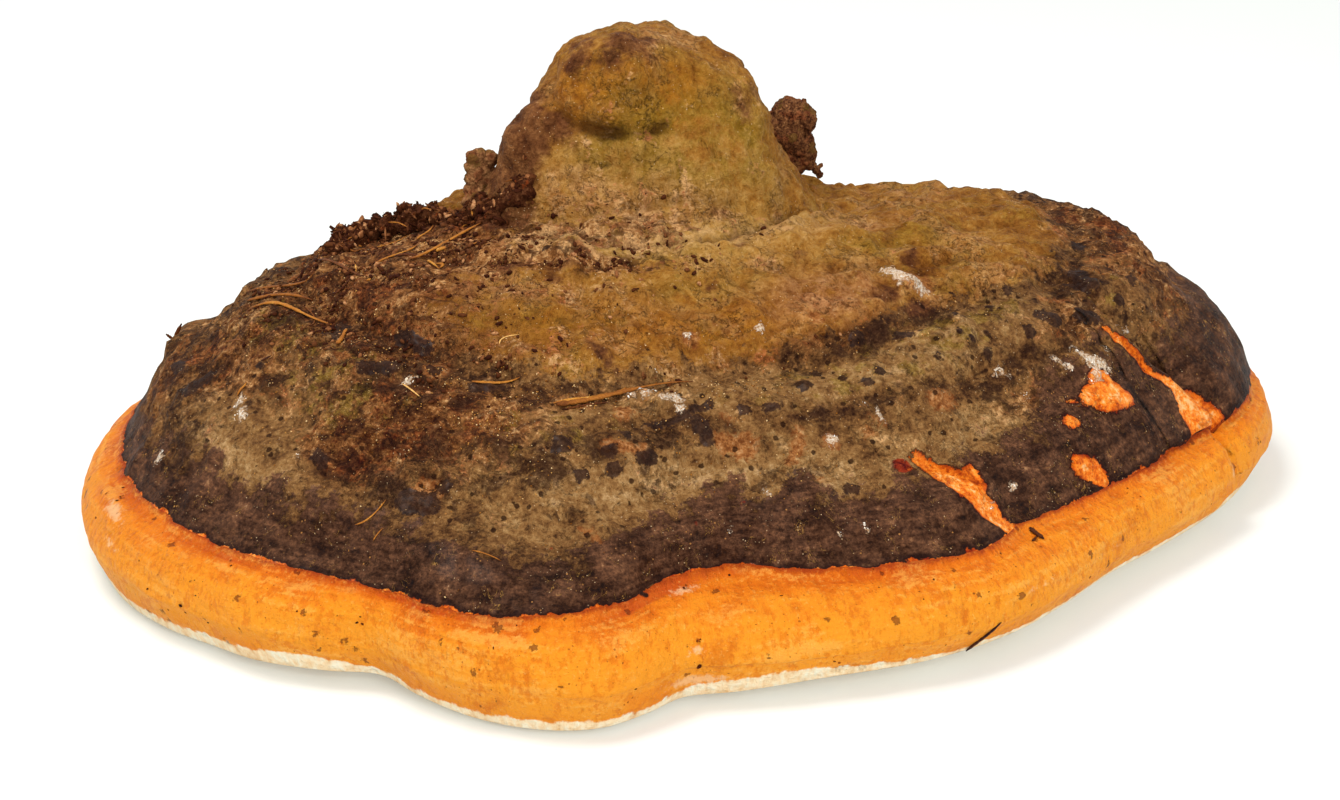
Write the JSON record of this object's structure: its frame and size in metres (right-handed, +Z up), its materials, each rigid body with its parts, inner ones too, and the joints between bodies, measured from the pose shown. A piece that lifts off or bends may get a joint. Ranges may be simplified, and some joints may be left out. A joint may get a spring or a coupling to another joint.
{
  "type": "bracket fungus",
  "caption": "Shelf-shaped bracket fungus with a blunt knob, a dark ringed crust, a swollen orange rim and a flat pale pore face, with bark, litter and dry needles on its top.",
  "frame": {"origin": "middle of the footprint, on the surface that the pore face rests on", "axes": "+X along the width, to the right in the picture, +Y towards the trunk that it grew on, +Z up"},
  "size_m": [0.2557, 0.1475, 0.0971],
  "materials": {
    "bracket": "dark leathery crust above, orange rim, cream pore face",
    "bark": "rough dark bark",
    "litter": "crumbly soil and rotten bark",
    "needle": "dry tan needle"
  },
  "bodies": {
    "root": {"bracket": "bracket", "bark_right": "bark", "bark_left": "bark", "litter": "litter", "needle_1": "needle", "needle_2": "needle", "needle_3": "needle", "needle_4": "needle", "needle_5": "needle", "needle_6": "needle"}
  },
  "joints": []
}
